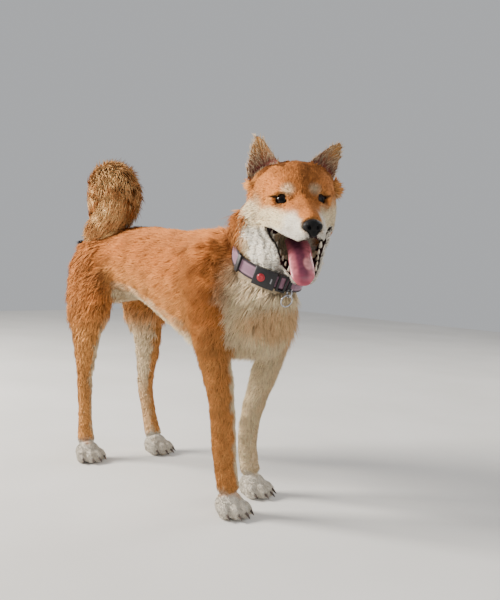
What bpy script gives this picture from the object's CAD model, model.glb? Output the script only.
"""A shiba inu standing with its head turned, mouth open and tail curled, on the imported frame."""

import math

import bpy
import numpy as np
import openvdb
from mathutils import Matrix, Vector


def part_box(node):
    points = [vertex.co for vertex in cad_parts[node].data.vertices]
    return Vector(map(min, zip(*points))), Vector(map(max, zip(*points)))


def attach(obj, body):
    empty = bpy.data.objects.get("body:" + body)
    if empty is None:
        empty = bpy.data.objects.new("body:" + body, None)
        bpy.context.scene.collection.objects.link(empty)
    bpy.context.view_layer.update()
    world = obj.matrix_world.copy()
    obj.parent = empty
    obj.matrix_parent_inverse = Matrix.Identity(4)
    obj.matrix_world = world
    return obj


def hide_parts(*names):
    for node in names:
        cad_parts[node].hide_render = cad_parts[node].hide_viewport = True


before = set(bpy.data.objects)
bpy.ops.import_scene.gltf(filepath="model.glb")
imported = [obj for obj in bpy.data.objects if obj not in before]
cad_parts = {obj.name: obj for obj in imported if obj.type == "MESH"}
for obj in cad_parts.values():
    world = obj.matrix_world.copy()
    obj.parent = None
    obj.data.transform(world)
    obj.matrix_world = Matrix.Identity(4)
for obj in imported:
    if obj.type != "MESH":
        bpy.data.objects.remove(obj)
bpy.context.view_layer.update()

# Lengths below are in millimetres in the dog's own frame: X forward, Y to its left, Z up from the floor.
HEAD_AT = np.array([241.0, -4.0, 412.0])
HEAD_YAW, HEAD_PITCH, HEAD_ROLL = -34.5, 6.0, 3.0
EYE_BACK = 9.0
EYE_SIDE = 22.5
EYE_RADIUS = 9.6
EYE_HALF = 9.2
EYE_OPEN = 2.8
EYE_SLANT = 0.36
HINGE = np.array([-52.0, 0.0, -36.0])
JAW_OPEN = 37.0
BODY_VOXEL = 2.5
HEAD_VOXEL = 1.25
SEED = 12

COLLAR_AT = np.array([176, 4, 325.5])
COLLAR_RADII = (55.0, 44.0)
COLLAR_WIDTH = 20.0
COLLAR_THICKNESS = 2.2
COLLAR_RISE = 45.0
CLEARANCE = 0.3
SLIDE_BACK = (-100, -94)
BUCKLE = (-66, -37)
SLIDE_FRONT = (-33, -19)
KEEPER = (-16, -11)
BUTTON_AT = -56
LOOP_RADIUS, LOOP_WIRE = 5.2, 1.1
RING_RADIUS, RING_WIRE = 8.0, 1.0
EAR_WIDTH = {"right": 54, "left": 50}
# An ear's width at heights from its root to its tip, as a share of its greatest.
EAR_HEIGHTS = [0, 0.3, 0.55, 0.75, 0.9, 1]
EAR_SHAPE = [0.96, 1, 0.82, 0.6, 0.38, 0.14]
PAW_TURNS = {"paw_front_right": -8, "paw_front_left": 2, "paw_hind_right": -6, "paw_hind_left": 8}
# Teeth as a place along the jaw, a height and a radius.
LOWER_TEETH = [
    (24, 5, 2.8),
    (33, 6, 3),
    (42, 5.5, 2.8),
    (51, 4.5, 2.4),
    (60, 4, 2.2),
    (69, 4, 2),
    (78, 6.5, 2.2),
    (86, 3, 1.5),
]
UPPER_TEETH = [(-4, 3, 2.6), (8, 3.2, 2.6)]

# The camera, fitted to the photo's landmarks in the dog's frame.
CAMERA_AT = np.array([875.3, -693.7, 335.7])
CAMERA_YAW, CAMERA_PITCH, CAMERA_ROLL = 136.29, -3.14, 2.29
FOCAL_PIXELS = 738.65
PHOTO_HEIGHT = 600
SENSOR = 36.0

# How much tufts stray in direction, how many grow on each paw, and how far the coat's two skins overlap.
STRAY = 0.16
PAW_TUFTS = 4200
SKIN_OVERLAP = 6
NO_ROOM_LIMIT = 1000

random = np.random.default_rng(SEED)


def turned(yaw, pitch, roll):
    """The rotation of a yaw, then a pitch nose down, then a roll, in degrees."""
    y, p, r = np.radians([yaw, pitch, roll])
    about_z = np.array([[np.cos(y), -np.sin(y), 0], [np.sin(y), np.cos(y), 0], [0, 0, 1]])
    about_y = np.array([[np.cos(p), 0, np.sin(p)], [0, 1, 0], [-np.sin(p), 0, np.cos(p)]])
    about_x = np.array([[1, 0, 0], [0, np.cos(r), -np.sin(r)], [0, np.sin(r), np.cos(r)]])
    return about_z @ about_y @ about_x


HEAD_TURN = turned(HEAD_YAW, HEAD_PITCH, HEAD_ROLL)
JAW_TURN = turned(0, JAW_OPEN, 0)


def centre_of(node):
    low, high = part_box(node)
    return (np.array(low) + np.array(high)) * 500.0


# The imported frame's origin lies under the middle of the dog's box.
eyes_middle = (centre_of("eye_right") + centre_of("eye_left")) / 2
SHIFT = eyes_middle - (HEAD_AT + HEAD_TURN @ np.array([-EYE_BACK, 0, 0]))


def to_world(points):
    """Points of the dog's frame in the scene's metres."""
    return (np.asarray(points) + SHIFT) / 1000.0


def to_head(points):
    return (points - HEAD_AT) @ HEAD_TURN


def from_head(points):
    return np.asarray(points) @ HEAD_TURN.T + HEAD_AT


def to_jaw(head_points):
    return (head_points - HINGE) @ JAW_TURN


def ramp(value, start, end):
    """0 before start, 1 after end, smooth between."""
    t = np.clip((value - start) / (end - start), 0, 1)
    return t * t * (3 - 2 * t)


def unit(vectors):
    return vectors / (np.linalg.norm(vectors, axis=-1, keepdims=True) + 1e-9)


def make_waves(count, scale, seed):
    """Random waves whose sum is a smooth noise of about -1 to 1, with features of a length scale."""
    draw = np.random.default_rng(seed)
    directions = unit(draw.normal(size=(count, 3))) * draw.uniform(0.6, 1.6, (count, 1)) * 2 * np.pi / scale
    phases = draw.uniform(0, 2 * np.pi, count)
    return directions, phases


def noise(points, waves):
    directions, phases = waves
    return np.sin(points @ directions.T + phases).sum(1) / math.sqrt(len(phases) / 2)


COLLAR_AXIS = unit(np.array([0.37, 0.03, 0.93]))
COLLAR_LEFT = unit(np.array([0, 1.0, 0]) - COLLAR_AXIS[1] * COLLAR_AXIS)
COLLAR_FRONT = np.cross(COLLAR_LEFT, COLLAR_AXIS)
BROAD = make_waves(9, 70, 1)
MIDDLE = make_waves(9, 22, 2)
FINE = make_waves(9, 7, 3)


# The lines that the coat follows: place, radius of the body there, lie, length, lift and depth.
TORSO_LINE = [
    ((-236, 0, 300), 50, (-0.5, 0, -0.86), 22, 16, 6),
    ((-205, 0, 308), 56, (-0.7, 0, -0.7), 22, 15, 6),
    ((-160, 0, 318), 60, (-0.85, 0, -0.5), 19, 12, 6),
    ((-115, 0, 322), 60, (-0.92, 0, -0.38), 18, 11, 6),
    ((-65, 0, 320), 61, (-0.94, 0, -0.34), 18, 11, 6),
    ((-15, 0, 310), 66, (-0.94, 0, -0.34), 18, 11, 6),
    ((35, 0, 300), 74, (-0.92, 0, -0.38), 19, 12, 6),
    ((85, 0, 300), 82, (-0.88, 0, -0.46), 22, 14, 7),
    ((125, 0, 290), 80, (-0.7, 0, -0.7), 26, 17, 8),
    ((160, 0, 265), 66, (-0.5, 0, -0.86), 28, 20, 8),
    ((190, 0, 248), 50, (-0.25, 0, -0.96), 28, 20, 8),
]
NECK_LINE = [
    ((160, 2, 300), 58, (-0.3, 0, -0.95), 28, 22, 8),
    ((176, 4, 328), 52, (-0.3, 0, -0.95), 25, 19, 7),
    ((171, 5, 356), 48, (-0.25, 0, -0.96), 28, 22, 7),
    ((168, 6, 384), 48, (-0.3, 0, -0.95), 28, 22, 7),
]
FRONT_RIGHT_LINE = [
    ((100, -42, 340), 34, (-0.55, 0, -0.83), 21, 13, 5),
    ((116, -50, 300), 40, (-0.4, 0, -0.9), 20, 13, 5),
    ((134, -55, 258), 38, (-0.3, 0, -0.95), 17, 12, 5),
    ((146, -57, 212), 27, (-0.3, 0, -0.95), 14, 11, 4),
    ((154, -53, 170), 22, (-0.2, 0, -0.98), 11, 10, 3),
    ((159, -50, 125), 19, (-0.1, 0, -1), 10, 10, 3),
    ((161, -48, 90), 18, (-0.1, 0, -1), 9, 10, 2.4),
    ((165, -46, 56), 16, (0.1, 0, -1), 8, 10, 2),
]
FRONT_LEFT_LINE = [
    ((100, 42, 340), 34, (-0.55, 0, -0.83), 21, 13, 5),
    ((116, 50, 300), 40, (-0.4, 0, -0.9), 20, 13, 5),
    ((134, 55, 258), 38, (-0.3, 0, -0.95), 17, 12, 5),
    ((139, 56, 212), 27, (-0.3, 0, -0.95), 14, 11, 4),
    ((131, 48, 168), 22, (-0.2, 0, -0.98), 11, 10, 3),
    ((122, 41, 125), 18, (-0.1, 0, -1), 10, 10, 3),
    ((117, 38, 90), 16, (-0.05, 0, -1), 9, 10, 2.4),
    ((119, 38, 56), 15, (0.1, 0, -1), 8, 10, 2),
]
HIND_RIGHT_LINE = [
    ((-186, -40, 340), 40, (-0.5, 0, -0.86), 22, 14, 6),
    ((-184, -46, 304), 46, (-0.45, 0, -0.9), 24, 16, 6),
    ((-173, -54, 260), 46, (-0.4, 0, -0.9), 24, 17, 6),
    ((-168, -60, 215), 36, (-0.35, 0, -0.94), 18, 14, 5),
    ((-176, -56, 165), 21, (-0.2, 0, -0.98), 13, 12, 3),
    ((-187, -49, 112), 15, (0.05, 0, -1), 10, 11, 2.4),
    ((-182, -50, 78), 13, (0.1, 0, -1), 8, 10, 2),
    ((-173, -53, 46), 14, (0.15, 0, -1), 8, 10, 2),
]
HIND_LEFT_LINE = [
    ((-184, 40, 340), 40, (-0.5, 0, -0.86), 22, 14, 6),
    ((-180, 45, 304), 46, (-0.45, 0, -0.9), 24, 16, 6),
    ((-168, 49, 260), 46, (-0.4, 0, -0.9), 24, 17, 6),
    ((-155, 50, 215), 36, (-0.35, 0, -0.94), 18, 14, 5),
    ((-156, 53, 165), 22, (-0.2, 0, -0.98), 13, 12, 3),
    ((-165, 58, 112), 16, (0.05, 0, -1), 10, 11, 2.4),
    ((-160, 60, 78), 13, (0.1, 0, -1), 8, 10, 2),
    ((-149, 61, 46), 14, (0.15, 0, -1), 8, 10, 2),
]
PAW_SPOTS = {
    "paw_front_right": (176, -45),
    "paw_front_left": (134, 38),
    "paw_hind_right": (-156, -57),
    "paw_hind_left": (-131, 62),
}
TAIL_LINE = [
    (-206, 2, 346),
    (-226, 3, 380),
    (-234, 3, 412),
    (-222, 0, 440),
    (-194, -6, 454),
    (-162, -13, 444),
    (-148, -20, 418),
    (-158, -30, 394),
    (-182, -40, 374),
    (-207, -47, 351),
]
TAIL_RADIUS = [17, 20, 24, 31, 37, 39, 37, 29, 17, 4]

GROUPS = [
    ("torso", TORSO_LINE),
    ("neck", NECK_LINE),
    ("front_right", FRONT_RIGHT_LINE),
    ("front_left", FRONT_LEFT_LINE),
    ("hind_right", HIND_RIGHT_LINE),
    ("hind_left", HIND_LEFT_LINE),
    ("paws", [((x, y, 12), 20, (0.8, 0, -0.5), 4.5, 12, 1.0) for x, y in PAW_SPOTS.values()]),
    ("head", [(tuple(from_head((-45, 0, -5))), 52, (-0.8, 0, 0), 12, 12, 3)]),
]
tail_points = np.array(TAIL_LINE, float)
tail_along = unit(np.gradient(tail_points, axis=0))
tail_guides = []
for place, along, radius in zip(tail_points, tail_along, TAIL_RADIUS):
    tail_guides.append((tuple(place), max(radius, 10), tuple(along), 13 + radius * 0.45, 31, radius * 0.24))
GROUPS.append(("tail", tail_guides))
GROUP_NAMES = [name for name, _ in GROUPS]


def guide_column(column):
    return np.array([guide[column] for _, guides in GROUPS for guide in guides], float)


guide_place, guide_radius = guide_column(0), guide_column(1)
guide_lie, guide_length = unit(guide_column(2)), guide_column(3)
guide_lift, guide_depth = np.radians(guide_column(4)), guide_column(5)
guide_group = np.array([index for index, (_, guides) in enumerate(GROUPS) for _ in guides])
HEAD_GROUP = GROUP_NAMES.index("head")
TAIL_GROUP = GROUP_NAMES.index("tail")
PAW_GROUP = GROUP_NAMES.index("paws")


def follow_guides(points, sharpness=5):
    """Each point's lie, length, lift, depth and group, blended from the guides near it."""
    distance = np.linalg.norm(points[:, None, :] - guide_place[None], axis=2) / guide_radius
    weight = 1 / (distance**sharpness + 1e-4)
    group = guide_group[weight.argmax(1)]
    weight /= weight.sum(1, keepdims=True)
    lie = unit(weight @ guide_lie)
    return lie, weight @ guide_length, weight @ guide_lift, weight @ guide_depth, group


# The mouth's outline: half width and height of the upper lip, and of the jaw's rim and floor.
LIP_X = [-34, -20, -8, 15, 31, 52, 62, 66]
LIP_WIDTH = [47, 43, 34, 26, 20, 15, 10, 5]
LIP_HEIGHT = [-48, -33, -36, -42, -45, -47, -44, -39]
RIM_X = [-8, 14, 30, 50, 70, 85, 93, 98]
RIM_WIDTH = [34, 41, 41, 31, 24.5, 18, 11, 3]
RIM_HEIGHT = [10, 16, 14, 3, -1, -3, -5, -10]


def mouth_depth(head_points):
    """How far inside the open mouth a point lies, below 0 outside it."""
    jaw = to_jaw(head_points)
    side = np.abs(head_points[:, 1])
    lip_width = np.interp(head_points[:, 0], LIP_X, LIP_WIDTH)
    lip_height = np.interp(head_points[:, 0], LIP_X, LIP_HEIGHT)
    rim_width = np.interp(jaw[:, 0], RIM_X, RIM_WIDTH)
    rim_height = np.interp(jaw[:, 0], RIM_X, RIM_HEIGHT)
    below_lip = lip_height - head_points[:, 2]
    above_rim = jaw[:, 2] - rim_height
    by_lip = np.where(below_lip < 14, lip_width, 0)
    by_rim = np.where(above_rim < 14, rim_width, 0)
    in_width = np.maximum(by_lip, by_rim) - side
    palate = np.minimum(lip_width * 0.72 - side, head_points[:, 0] + 16)
    near_lip = np.minimum(below_lip + 22 * (palate > 0), above_rim + 14 * (rim_width - side > 1.5))
    return np.minimum.reduce([near_lip, in_width, head_points[:, 0] + 30, 104 - jaw[:, 0]])


def linear(red, green, blue):
    """A screen colour of 0 to 255 as linear light."""
    values = np.array([red, green, blue]) / 255
    return np.where(values < 0.04045, values / 12.92, ((values + 0.055) / 1.055) ** 2.4)


RED = linear(205, 130, 68)
SHADED_RED = linear(156, 96, 52)
TAN = linear(222, 162, 96)
CREAM = linear(238, 214, 176)
WHITE = linear(236, 226, 210)
TAIL_GOLD = linear(232, 184, 124)
TAIL_BROWN = linear(160, 102, 54)
DARK = linear(38, 28, 24)
EAR_SKIN = linear(120, 66, 60)
MOUTH_DARK = linear(46, 18, 22)


def spot(points, centre, radii, start=0.7, end=1.15):
    """1 inside an ellipsoid, fading to 0 from start to end of its radius."""
    distance = np.linalg.norm((points - np.array(centre)) / np.array(radii), axis=1)
    return 1 - ramp(distance, start, end)


# Behind this line across the cheek the ruff is red: heights and places along the head.
RUFF_Z = [-100, -81, -62, -51, -32, -20, 0, 15]
RUFF_X = [-40, -38, -34, -30, -34, -42, -60, -75]


def head_markings(points, normals, colour):
    head = to_head(points)
    x, y, z = head.T
    side = np.abs(y)
    wobble = noise(points, MIDDLE) * 2.0
    normal = normals @ HEAD_TURN
    crown = ramp(z, 20, 45) * (1 - ramp(side, 10, 30))
    colour = blend_in(colour, SHADED_RED, 0.45 * crown)
    cheek_top = np.interp(x, [-70, -40, -15, 5, 25, 66], [2, 2, -6, -12, -16, -24])
    cheek = ramp(cheek_top - z + wobble, -9, 9) * ramp(side, 5, 15) * ramp(x + 0.5 * z, -88, -62)
    colour = blend_in(colour, CREAM, cheek)
    jaw = to_jaw(head)
    border = np.interp(z, RUFF_Z, RUFF_X)
    outer_ruff = ramp(border - x + 1.5 * wobble, -4, 9) * ramp(side, 20, 34)
    muzzle_side = ramp(x, 6, 26) * ramp(side + wobble * 0.4, 9, 14) * ramp(-12 - z, -4, 10)
    colour = blend_in(colour, WHITE, 0.9 * muzzle_side)
    under = ramp(-normal[:, 2], 0.1, 0.5) * ramp(-18 - z, 0, 8)
    colour = blend_in(colour, WHITE, under)
    colour = blend_in(colour, RED, outer_ruff)
    for direction in (-1, 1):
        brow = spot(head, (2, direction * 16.5, 12), (14, 10, 9.5), 0.2, 1.2)
        colour = blend_in(colour, CREAM, 0.72 * brow)
        under_eye = spot(head, (-6, direction * 26, -11), (16, 12, 8), 0.3, 1.2)
        colour = blend_in(colour, CREAM, 0.55 * under_eye)
        inner_eye = spot(head, (8, direction * 15, -5), (8, 5, 5), 0.3, 1.2)
        colour = blend_in(colour, SHADED_RED, 0.4 * inner_eye)
    chin = ramp(jaw[:, 0], 5, 25) * ramp(-30 - z, 0, 10) * (1 - ramp(-jaw[:, 2], 30, 44)) * (1 - outer_ruff)
    colour = blend_in(colour, WHITE, chin)
    sure, inside, height = on_ear(points, normals)[:3]
    colour = blend_in(colour, SHADED_RED, 0.75 * sure * (1 - inside))
    bare = EAR_SKIN + (TAN * 0.75 - EAR_SKIN) * ramp(height, 0.35, 0.95)[:, None]
    colour = colour + (bare - colour) * inside[:, None]
    gap, corner = eye_gap(head), eye_corner(head)
    colour = blend_in(colour, DARK * 0.35, np.maximum(1 - ramp(gap, 0.7, 2.1), 0.8 * corner))
    inner = mouth_depth(head)
    colour = blend_in(colour, DARK * 0.5, ramp(inner, -2.4, -1.0))
    return blend_in(colour, MOUTH_DARK, np.maximum(ramp(inner, 0.5, 3), faces_mouth(head, normal)))


def faces_mouth(head, normal):
    """1 where the skin belongs to the inside of the mouth, 0 elsewhere."""
    x, y, z = head.T
    jaw = to_jaw(head)
    lip_height = np.interp(x, LIP_X, LIP_HEIGHT)
    width = np.maximum(np.interp(x, LIP_X, LIP_WIDTH), np.interp(jaw[:, 0], RIM_X, RIM_WIDTH))
    within = (np.abs(y) < 0.9 * width) * (x > -46) * (x < 50) * (jaw[:, 0] > -4) * (jaw[:, 0] < 90)
    within = within * (jaw[:, 2] > np.interp(jaw[:, 0], RIM_X, RIM_HEIGHT) - 13)
    within = within * (normal[:, 1] * np.sign(y) < 0.25)
    return within * np.where(normal[:, 2] < -0.2, z < lip_height + 15, z < lip_height - 1)


def blend_in(colour, other, weight):
    return colour + (other - colour) * weight[:, None]


EARS = {
    "right": (np.array([-50, -39, 20.0]), np.array([-57, -50, 84.0]), np.array([0.8, -0.6, 0.1])),
    "left": (np.array([-50, 31, 22.0]), np.array([-57, 66, 74.0]), np.array([0.85, 0.45, 0.1])),
}


def ear_place(head_points, which):
    """A point's height along an ear from 0 to 1, its side step, and its step to the front."""
    root, tip, facing = EARS[which]
    up = unit(tip - root)
    front = unit(facing - up * (facing @ up))
    wide = np.cross(up, front)
    offset = head_points - root
    return offset @ up / 62.0, offset @ wide, offset @ front, up, front


def markings(points, normals, group):
    """The coat's colour at points of the dog's frame, the same on the skin and on the tufts."""
    x, y, z = points.T
    broad, middle = noise(points, BROAD), noise(points, MIDDLE)
    colour = np.tile(RED, (len(points), 1))
    colour = blend_in(colour, SHADED_RED, np.clip(0.16 + 0.16 * broad + 0.12 * middle, 0, 1))
    top = ramp(normals[:, 2], 0.3, 0.95)
    colour = blend_in(colour, SHADED_RED, 0.35 * top)
    colour = blend_in(colour, TAN, 0.45 * ramp(-normals[:, 2], -0.35, 0.3))
    names = np.array(GROUP_NAMES)[group]
    torso = np.isin(names, ["torso", "neck"])
    belly = ramp(-normals[:, 2] + 0.06 * middle, 0.35, 0.72) * ramp(330 - z, 0, 60) * ramp(x, -215, -185)
    front = np.array([0.93, -0.37, 0.0])
    chest = ramp(normals @ front + 0.07 * middle, 0.3, 0.62) * ramp(x, 140, 175) * ramp(400 - z, 0, 40)
    colour = blend_in(colour, CREAM, np.where(torso, np.maximum(belly, chest), 0))
    collar_height = (points - COLLAR_AT) @ COLLAR_AXIS
    throat = ramp(x, 174, 190) * ramp(collar_height, -1, 6) * ramp(385 - z, 0, 15)
    colour = blend_in(colour, CREAM, np.where(torso, throat, 0))
    chest = chest * (1 - ramp(collar_height, -2, 8))
    band = chest * spot(points, (205, 5, 262), (60, 60, 22))
    colour = blend_in(colour, TAN, np.where(torso, 0.5 * band, 0))
    for name, outside in (("front_right", -1), ("front_left", 1), ("hind_right", -1), ("hind_left", 1)):
        here = names == name
        lower = ramp(260 - z, 0, 60)
        colour = blend_in(colour, TAN, np.where(here, 0.35 * lower, 0))
        inner = ramp(-outside * normals[:, 1] + 0.1 * middle, 0.05, 0.5) * lower
        colour = blend_in(colour, CREAM, np.where(here, inner, 0))
        if name == "front_left":
            shin = ramp(normals[:, 0], 0.0, 0.6) * lower
            colour = blend_in(colour, CREAM, np.where(here, 0.85 * shin, 0))
        if name.startswith("hind"):
            rear = ramp(-normals[:, 0], 0.2, 0.8) * ramp(330 - z, 0, 60)
            colour = blend_in(colour, CREAM, np.where(here, 0.7 * rear, 0))
            pale = ramp(150 - z, 0, 70)
            colour = blend_in(colour, TAN, np.where(here, 0.55 * pale, 0))
    ankle = names == "paws"
    colour = blend_in(colour, TAN, 0.6 * ankle)
    colour = blend_in(colour, CREAM, 0.9 * (ankle & (y > 0)))
    sock = ramp(34 - z + 3 * middle, -6, 8)
    legs = np.isin(names, ["front_right", "front_left", "hind_right", "hind_left", "paws"])
    colour = blend_in(colour, WHITE, np.where(legs, sock, 0))
    tail = group == TAIL_GROUP
    if tail.any():
        gold = np.tile(TAIL_GOLD, (tail.sum(), 1))
        gold = blend_in(gold, TAIL_BROWN, np.clip(0.22 + 0.4 * middle[tail], 0, 1))
        end = ramp(np.linalg.norm(points[tail] - tail_points[-1], axis=1), 40, 14)
        gold = blend_in(gold, DARK, end)
        colour[tail] = gold
    head = group == HEAD_GROUP
    if head.any():
        colour[head] = head_markings(points[head], normals[head], colour[head])
    return np.clip(colour * (1 + 0.05 * noise(points, FINE))[:, None], 0, 1)


def make_mesh(name, points, faces, material, colours=None, uv=None, smooth=True):
    """A mesh object from arrays: points in the dog's frame, and faces that all have as many corners."""
    mesh = bpy.data.meshes.new(name)
    corners = faces.shape[1]
    mesh.vertices.add(len(points))
    mesh.vertices.foreach_set("co", to_world(points).astype(np.float32).ravel())
    mesh.loops.add(faces.size)
    mesh.loops.foreach_set("vertex_index", faces.astype(np.int32).ravel())
    mesh.polygons.add(len(faces))
    mesh.polygons.foreach_set("loop_start", np.arange(0, faces.size, corners, dtype=np.int32))
    mesh.polygons.foreach_set("use_smooth", np.full(len(faces), smooth))
    if colours is not None:
        layer = mesh.attributes.new("markings", "FLOAT_COLOR", "POINT")
        rgba = np.concatenate([colours, np.ones((len(colours), 1))], axis=1)
        layer.data.foreach_set("color", rgba.astype(np.float32).ravel())
    if uv is not None:
        layer = mesh.uv_layers.new(name="OFBake")
        layer.data.foreach_set("uv", uv[faces.ravel()].astype(np.float32).ravel())
    mesh.update(calc_edges=True)
    mesh.materials.append(material)
    piece = bpy.data.objects.new(name, mesh)
    bpy.context.scene.collection.objects.link(piece)
    return piece


def normals_of(points, faces):
    """Smooth normals at the points of a mesh of quads."""
    a, b, c, d = (points[faces[:, k]] for k in range(4))
    face_normal = np.cross(c - a, d - b)
    total = np.zeros_like(points)
    for k in range(4):
        np.add.at(total, faces[:, k], face_normal)
    return unit(total)


# Skins are made from signed distances on a grid, so that the solids melt into one another.
def node_mesh(node):
    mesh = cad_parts[node].data
    mesh.calc_loop_triangles()
    points = np.empty(len(mesh.vertices) * 3, np.float32)
    mesh.vertices.foreach_get("co", points)
    faces = np.empty(len(mesh.loop_triangles) * 3, np.int32)
    mesh.loop_triangles.foreach_get("vertices", faces)
    matrix = np.array(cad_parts[node].matrix_world)
    world = points.reshape(-1, 3) @ matrix[:3, :3].T + matrix[:3, 3]
    return world * 1000.0 - SHIFT, faces.reshape(-1, 3)


class Field:
    """Signed distances to solids, in millimetres, on a grid."""

    reach = 8

    def __init__(self, low, high, voxel):
        self.voxel = voxel
        self.start = np.floor(np.array(low) / voxel).astype(int)
        self.shape = tuple(np.ceil(np.array(high) / voxel).astype(int) - self.start + 1)
        self.values = np.full(self.shape, self.reach * voxel, np.float32)

    def distance_to(self, node):
        points, faces = node_mesh(node)
        grid = openvdb.FloatGrid.createLevelSetFromPolygons(
            points.astype(np.float32),
            triangles=faces.astype(np.uint32),
            transform=openvdb.createLinearTransform(self.voxel),
            halfWidth=self.reach,
        )
        values = np.empty(self.shape, np.float32)
        grid.copyToArray(values, ijk=tuple(int(v) for v in self.start))
        return values

    def melt(self, node, softness):
        """Joins a node with a rounded seam of about this size."""
        other = self.distance_to(node)
        near = (other < self.reach * self.voxel) & (self.values < self.reach * self.voxel)
        step = np.clip(0.5 + 0.5 * (self.values - other) / softness, 0, 1)
        joined = self.values * (1 - step) + other * step - softness * step * (1 - step)
        self.values = np.where(near, joined, np.minimum(self.values, other))

    def soften(self, sigma):
        """Smooths the distances over this many millimetres."""
        reach = int(np.ceil(2.5 * sigma / self.voxel))
        steps = np.arange(-reach, reach + 1) * self.voxel
        kernel = np.exp(-0.5 * (steps / sigma) ** 2)
        kernel /= kernel.sum()
        for axis in range(3):
            margins = [(reach, reach) if k == axis else (0, 0) for k in range(3)]
            padded = np.moveaxis(np.pad(self.values, margins, "edge"), axis, 0)
            count = self.shape[axis]
            total = sum(weight * padded[k : k + count] for k, weight in enumerate(kernel))
            self.values = np.ascontiguousarray(np.moveaxis(total, 0, axis), dtype=np.float32)

    def places(self):
        """The grid's points in the dog's frame."""
        grid = np.stack(np.meshgrid(*map(np.arange, self.shape), indexing="ij"), axis=-1)
        return (grid + self.start) * self.voxel

    def surface(self):
        """The points and quads where the distance is 0, facing out."""
        grid = openvdb.FloatGrid(self.reach * self.voxel)
        grid.copyFromArray(self.values, ijk=tuple(int(v) for v in self.start))
        grid.transform = openvdb.createLinearTransform(self.voxel)
        points, quads = grid.convertToQuads(isovalue=0.0)
        points, quads = np.asarray(points, float), np.asarray(quads, np.int64)
        a, b, c, d = (points[quads[:, k]] for k in range(4))
        volume = np.einsum("ij,ij->", a, np.cross(b, c)) + np.einsum("ij,ij->", a, np.cross(c, d))
        return points, quads if volume > 0 else quads[:, ::-1]


def keep_faces(points, faces, keep):
    """The mesh left when only these faces are kept."""
    faces = faces[keep]
    used, index = np.unique(faces, return_inverse=True)
    return points[used], index.reshape(faces.shape)


def head_side(points):
    """How far a point lies on the head's side of the plane between the two skins."""
    head = to_head(points)
    return 0.8866 * (head[:, 0] + 70) + 0.4626 * (head[:, 2] - 40)


def eye_place(head_points, direction):
    """A point's steps across, up and out of an eye."""
    local = head_points - np.array([-EYE_BACK, direction * EYE_SIDE, 0])
    facing = turned(0, math.degrees(-0.12), 0) @ turned(math.degrees(direction * 0.5), 0, 0)
    local = local @ facing
    return direction * local[:, 1], local[:, 2], local[:, 0]


def eye_corner(head_points):
    """1 on the dark streaks that run out from the corners of each eye."""
    streak = np.zeros(len(head_points))
    for direction in (-1, 1):
        across, up, out = eye_place(head_points, direction)
        off_line = np.abs(up - 0.45 - EYE_SLANT * across)
        outer = ramp(across, 6, 8) * (1 - ramp(across, 12, 16))
        inner = ramp(-across, 6, 8) * (1 - ramp(-across, 10.5, 13))
        here = np.maximum(outer, inner) * (1 - ramp(off_line, 0.6, 1.9)) * (out > -4)
        streak = np.maximum(streak, here)
    return streak


def eye_gap(head_points):
    """The distance across the face from the nearer eye's opening, below 0 inside it."""
    nearest = np.full(len(head_points), 50.0)
    for direction in (-1, 1):
        across, up, out = eye_place(head_points, direction)
        off_line = np.abs(up - 0.45 - EYE_SLANT * across)
        half = EYE_OPEN * np.clip(1 - (across / EYE_HALF) ** 2, 0, 1)
        beyond = np.maximum(np.abs(across) - EYE_HALF, 0)
        outside = np.hypot(np.maximum(off_line - half, 0), beyond)
        gap = outside - np.where(beyond > 0, 0, np.maximum(half - off_line, 0))
        nearest = np.minimum(nearest, np.where(out > 0, gap, 50))
    return nearest


BODY_NODES = [
    ("torso", 10),
    ("leg_front_right", 12),
    ("leg_front_left", 12),
    ("leg_hind_right", 12),
    ("leg_hind_left", 12),
    ("neck", 14),
    ("head", 8),
    ("jaw", 6),
    ("paw_front_right", 3),
    ("paw_front_left", 3),
    ("paw_hind_right", 3),
    ("paw_hind_left", 3),
    ("tail_base", 8),
    ("tail_curl", 3),
    ("tail_front", 3),
    ("tail_tip", 3),
]


def body_skin():
    field = Field((-270, -100, -6), (260, 105, 520), BODY_VOXEL)
    for node, softness in BODY_NODES:
        if node.startswith("paw") and node.endswith("front_right"):
            field.soften(3.2)
        field.melt(node, softness)
    field.soften(1.2)
    points, faces = field.surface()
    middle = points[faces].mean(1)
    points, faces = keep_faces(points, faces, head_side(middle) < SKIN_OVERLAP)
    normals = normals_of(points, faces)
    depth = follow_guides(points)[3]
    depth = depth * ramp(points[:, 2], 0, 6)
    return points - normals * depth[:, None], faces


def head_depth(points):
    """How deep the skin lies under the solid on the head."""
    head = to_head(points)
    x, y, z = head.T
    depth = np.interp(x, [-90, -60, -30, 0, 20, 60], [8, 7, 4, 2, 1.4, 0.8])
    depth = depth * (0.55 + 0.45 * ramp(np.abs(y), 15, 45))
    near_eye = ramp(eye_gap(head), 1, 14)
    lips = ramp(-mouth_depth(head), 1, 9)
    ears = 1 - ramp(z, 40, 52) * ramp(np.abs(y), 12, 20)
    for which in EARS:
        up_share, across, ahead, _, _ = ear_place(head, which)
        on_sheet = ramp(up_share, -0.02, 0.08) * ramp(0.5 * EAR_WIDTH[which] + 8 - np.abs(across), 0, 5)
        ears = ears * (1 - on_sheet * ramp(17 - np.abs(ahead + 8), 0, 4))
    return depth * np.minimum(near_eye, lips) * ears + 0.15


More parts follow.
